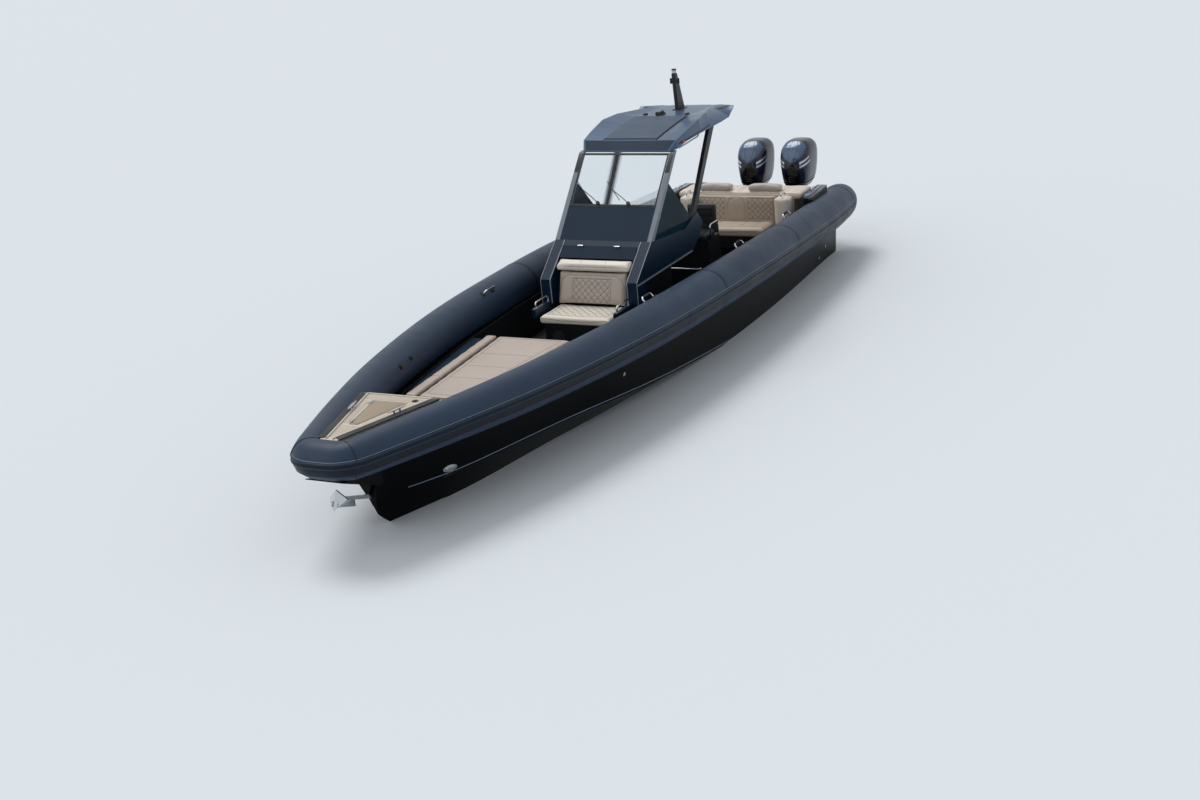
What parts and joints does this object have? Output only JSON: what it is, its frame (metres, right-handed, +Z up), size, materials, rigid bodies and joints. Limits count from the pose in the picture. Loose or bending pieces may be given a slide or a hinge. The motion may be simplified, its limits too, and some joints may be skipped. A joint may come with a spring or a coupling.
{
  "type": "rigid inflatable boat",
  "caption": "Open rigid inflatable boat with a deep-V hull, air tubes, a console with windscreen and hard top, bow and stern seating and outboard engines.",
  "frame": {"origin": "centreline amidships at the static waterline", "axes": "+X to the bow, +Y to port, +Z up"},
  "size_m": [12.4215, 3.2728, 4.2631],
  "materials": {
    "hull_gelcoat": "polished black gelcoat",
    "liner_gelcoat": "satin black gelcoat",
    "navy_gelcoat": "metallic navy gelcoat",
    "roof_gelcoat": "steel blue gelcoat",
    "cream_gelcoat": "cream gelcoat",
    "deck_inlay": "ribbed foam decking",
    "tube_fabric": "matt coated fabric",
    "strake_rubber": "moulded rubber",
    "tan_upholstery": "marine vinyl, quilted",
    "black_upholstery": "marine vinyl",
    "clear_glass": "clear acrylic",
    "dark_glass": "smoked acrylic",
    "pillar_aluminium": "satin anodised",
    "stainless": "polished stainless steel",
    "black_metal": "black powder coat",
    "black_plastic": "moulded black plastic",
    "engine_paint": "dark navy enamel",
    "cowl_paint": "dark navy lacquer with steel blue facets"
  },
  "bodies": {
    "root": {"hull": "hull_gelcoat", "deck_sole": "liner_gelcoat", "deck_liner": "liner_gelcoat", "bow_fairing": "hull_gelcoat", "collar_port": "tube_fabric", "collar_starboard": "tube_fabric", "collar_bow": "tube_fabric", "rubbing_strake": "strake_rubber", "foredeck": "cream_gelcoat", "bow_cleats": "stainless", "grab_handles": "stainless", "anchor": "stainless", "sundeck_base": "navy_gelcoat", "sundeck_pads": "tan_upholstery", "console_pod": "liner_gelcoat", "console_shell": "navy_gelcoat", "front_seat_base": "liner_gelcoat", "front_seat_cushion": "tan_upholstery", "front_backrest": "tan_upholstery", "front_headrest": "tan_upholstery", "seat_rails": "navy_gelcoat", "windscreen_panel": "navy_gelcoat", "windscreen_glass": "clear_glass", "pillars": "pillar_aluminium", "side_windows": "dark_glass", "dash": "black_plastic", "throttle": "black_plastic", "helm_seat_base": "liner_gelcoat", "helm_seat_cushions": "black_upholstery", "helm_seat_backs": "black_upholstery", "hard_top": "roof_gelcoat", "roof_panel": "roof_gelcoat", "rear_struts": "black_metal", "mast": "black_metal", "bench_base": "liner_gelcoat", "bench_seat": "tan_upholstery", "bench_backrest": "tan_upholstery", "bench_returns": "tan_upholstery", "aft_locker": "cream_gelcoat", "aft_pad": "tan_upholstery", "bench_bolsters": "tan_upholstery", "quarter_boxes": "navy_gelcoat", "clamp_brackets": "black_metal"},
    "swivel_port": {"swivel_port": "black_metal"},
    "engine_port": {"leg_port": "engine_paint", "cowl_port": "cowl_paint"},
    "propeller_port": {"propeller_port": "stainless"},
    "swivel_starboard": {"swivel_starboard": "black_metal"},
    "engine_starboard": {"leg_starboard": "engine_paint", "cowl_starboard": "cowl_paint"},
    "propeller_starboard": {"propeller_starboard": "stainless"},
    "steering_wheel": {"steering_wheel": "black_plastic"},
    "anchor_lid": {"anchor_lid": "deck_inlay"},
    "console_lid": {"console_lid": "navy_gelcoat"}
  },
  "joints": [
    {"name": "tilt_port", "type": "hinge", "parent": "root", "child": "swivel_port", "pos_m": [-5.575, 0.35, 0.64], "axis": [0, 1, 0], "range_deg": [0, 60]},
    {"name": "steer_port", "type": "hinge", "parent": "swivel_port", "child": "engine_port", "pos_m": [-5.72, 0.35, 0.38], "axis": [0, 0, 1], "range_deg": [-30, 30]},
    {"name": "propeller_spin_port", "type": "hinge", "parent": "engine_port", "child": "propeller_port", "pos_m": [-6.23, 0.35, -0.78], "axis": [1, 0, 0], "continuous": true},
    {"name": "tilt_starboard", "type": "hinge", "parent": "root", "child": "swivel_starboard", "pos_m": [-5.575, -0.35, 0.64], "axis": [0, 1, 0], "range_deg": [0, 60]},
    {"name": "steer_starboard", "type": "hinge", "parent": "swivel_starboard", "child": "engine_starboard", "pos_m": [-5.72, -0.35, 0.38], "axis": [0, 0, 1], "range_deg": [-30, 30]},
    {"name": "propeller_spin_starboard", "type": "hinge", "parent": "engine_starboard", "child": "propeller_starboard", "pos_m": [-6.23, -0.35, -0.78], "axis": [1, 0, 0], "continuous": true},
    {"name": "wheel_turn", "type": "hinge", "parent": "root", "child": "steering_wheel", "pos_m": [-0.81412, -0.22, 1.53408], "axis": [-0.8412, 0, 0.5408], "range_deg": [-720, 720]},
    {"name": "anchor_lid_hinge", "type": "hinge", "parent": "root", "child": "anchor_lid", "pos_m": [4.78, -0.208, 1.168], "axis": [0.9701, 0.2425, 0], "range_deg": [0, 85]},
    {"name": "console_lid_hinge", "type": "hinge", "parent": "root", "child": "console_lid", "pos_m": [0.11972, 0, 1.5124], "axis": [0, -1, 0], "range_deg": [0, 75]}
  ],
  "couplings": [
    {"joint": "tilt_starboard", "follows": "tilt_port", "ratio": 1},
    {"joint": "steer_starboard", "follows": "steer_port", "ratio": 1}
  ]
}
